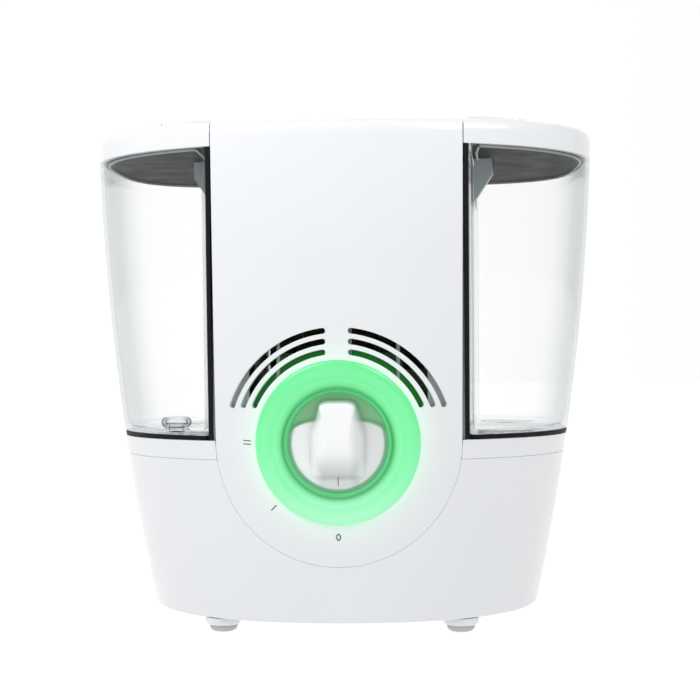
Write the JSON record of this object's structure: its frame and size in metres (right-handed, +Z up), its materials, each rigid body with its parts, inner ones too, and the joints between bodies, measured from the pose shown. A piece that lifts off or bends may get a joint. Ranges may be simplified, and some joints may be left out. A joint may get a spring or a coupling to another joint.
{
  "type": "cool mist humidifier",
  "caption": "Tabletop cool mist humidifier with a glowing dial on a white front panel between two clear lift-off water tanks, fan and wick inside.",
  "frame": {"origin": "middle of the underside, on the surface that the foot pads stand on", "axes": "+Z up, +X to the right seen from the front, the front panel faces -Y"},
  "size_m": [0.3028, 0.216, 0.2954],
  "materials": {
    "white": "gloss",
    "clear": "polished clear plastic",
    "seal": "matt",
    "liner": "satin",
    "gasket": "matt",
    "grip": "satin",
    "glow": "translucent, lit from behind",
    "knob": "gloss",
    "steel": "plain",
    "dark": "matt",
    "board": "satin",
    "wick": "fibrous",
    "pad": "matt"
  },
  "bodies": {
    "base": {"base_tub": "white", "water_tray": "white", "float_guide": "white", "cord_gland": "dark", "front_panel": "white", "light_ring": "glow", "knob_well": "white", "slot_guard": "grip", "light_guide": "glow", "led_board": "board", "rotary_switch": "dark", "control_board": "board", "column_shell": "white", "fan_shroud": "dark", "fan_deck": "dark", "wick_filter": "wick", "wick_frame": "white", "edge_strip_left": "seal", "edge_strip_right": "seal", "fan_motor": "dark", "motor_bracket": "steel", "foot_front_left": "white", "foot_pad_front_left": "pad", "foot_front_right": "white", "foot_pad_front_right": "pad", "foot_rear_left": "white", "foot_pad_rear_left": "pad", "foot_rear_right": "white", "foot_pad_rear_right": "pad", "tank_well_left": "white", "tank_well_right": "white"},
    "knob": {"knob": "knob", "knob_shaft": "steel"},
    "fan": {"fan_impeller": "dark", "fan_shaft": "steel"},
    "top_cover": {"top_cover": "white"},
    "rear_grille": {"rear_grille": "white"},
    "low_water_float": {"low_water_float": "grip"},
    "tank_left": {"tank_left_shell": "clear", "tank_left_floor": "clear", "tank_left_seal": "seal", "tank_left_crown": "white", "tank_left_liner": "liner", "tank_left_gasket": "gasket", "tank_left_grip_cup": "grip"},
    "cap_left": {"tank_left_cap": "dark", "tank_left_cap_seal": "seal"},
    "valve_left": {"tank_left_valve": "white", "tank_left_spring": "steel"},
    "tank_right": {"tank_right_shell": "clear", "tank_right_floor": "clear", "tank_right_seal": "seal", "tank_right_crown": "white", "tank_right_liner": "liner", "tank_right_gasket": "gasket", "tank_right_grip_cup": "grip"},
    "cap_right": {"tank_right_cap": "dark", "tank_right_cap_seal": "seal"},
    "valve_right": {"tank_right_valve": "white", "tank_right_spring": "steel"}
  },
  "joints": [
    {"name": "knob_turn", "type": "hinge", "parent": "base", "child": "knob", "pos_m": [0, -0.094, 0.1098], "axis": [0, 1, 0], "range_deg": [0, 90]},
    {"name": "fan_spin", "type": "hinge", "parent": "base", "child": "fan", "pos_m": [0, -0.003, 0.25], "axis": [0, 0, 1], "continuous": true},
    {"name": "top_cover_lift", "type": "slide", "parent": "base", "child": "top_cover", "axis": [0, 0, 1], "range_m": [0, 0.04]},
    {"name": "rear_grille_pull", "type": "slide", "parent": "base", "child": "rear_grille", "axis": [0, 1, 0], "range_m": [0, 0.03]},
    {"name": "float_rise", "type": "slide", "parent": "base", "child": "low_water_float", "axis": [0, 0, 1], "range_m": [0, 0.006]},
    {"name": "tank_left_lift", "type": "slide", "parent": "base", "child": "tank_left", "axis": [0, 0, 1], "range_m": [0, 0.215]},
    {"name": "cap_left_turn", "type": "hinge", "parent": "tank_left", "child": "cap_left", "pos_m": [-0.101, 0.02, 0.095], "axis": [0, 0, 1], "range_deg": [0, 60]},
    {"name": "valve_left_push", "type": "slide", "parent": "cap_left", "child": "valve_left", "axis": [0, 0, 1], "range_m": [0, 0.003], "stiffness_N_per_m": 120, "springref_m": -0.002, "deforming": ["tank_left_spring"]},
    {"name": "tank_right_lift", "type": "slide", "parent": "base", "child": "tank_right", "axis": [0, 0, 1], "range_m": [0, 0.215]},
    {"name": "cap_right_turn", "type": "hinge", "parent": "tank_right", "child": "cap_right", "pos_m": [0.101, 0.02, 0.095], "axis": [0, 0, 1], "range_deg": [0, 60]},
    {"name": "valve_right_push", "type": "slide", "parent": "cap_right", "child": "valve_right", "axis": [0, 0, 1], "range_m": [0, 0.003], "stiffness_N_per_m": 120, "springref_m": -0.002, "deforming": ["tank_right_spring"]}
  ]
}
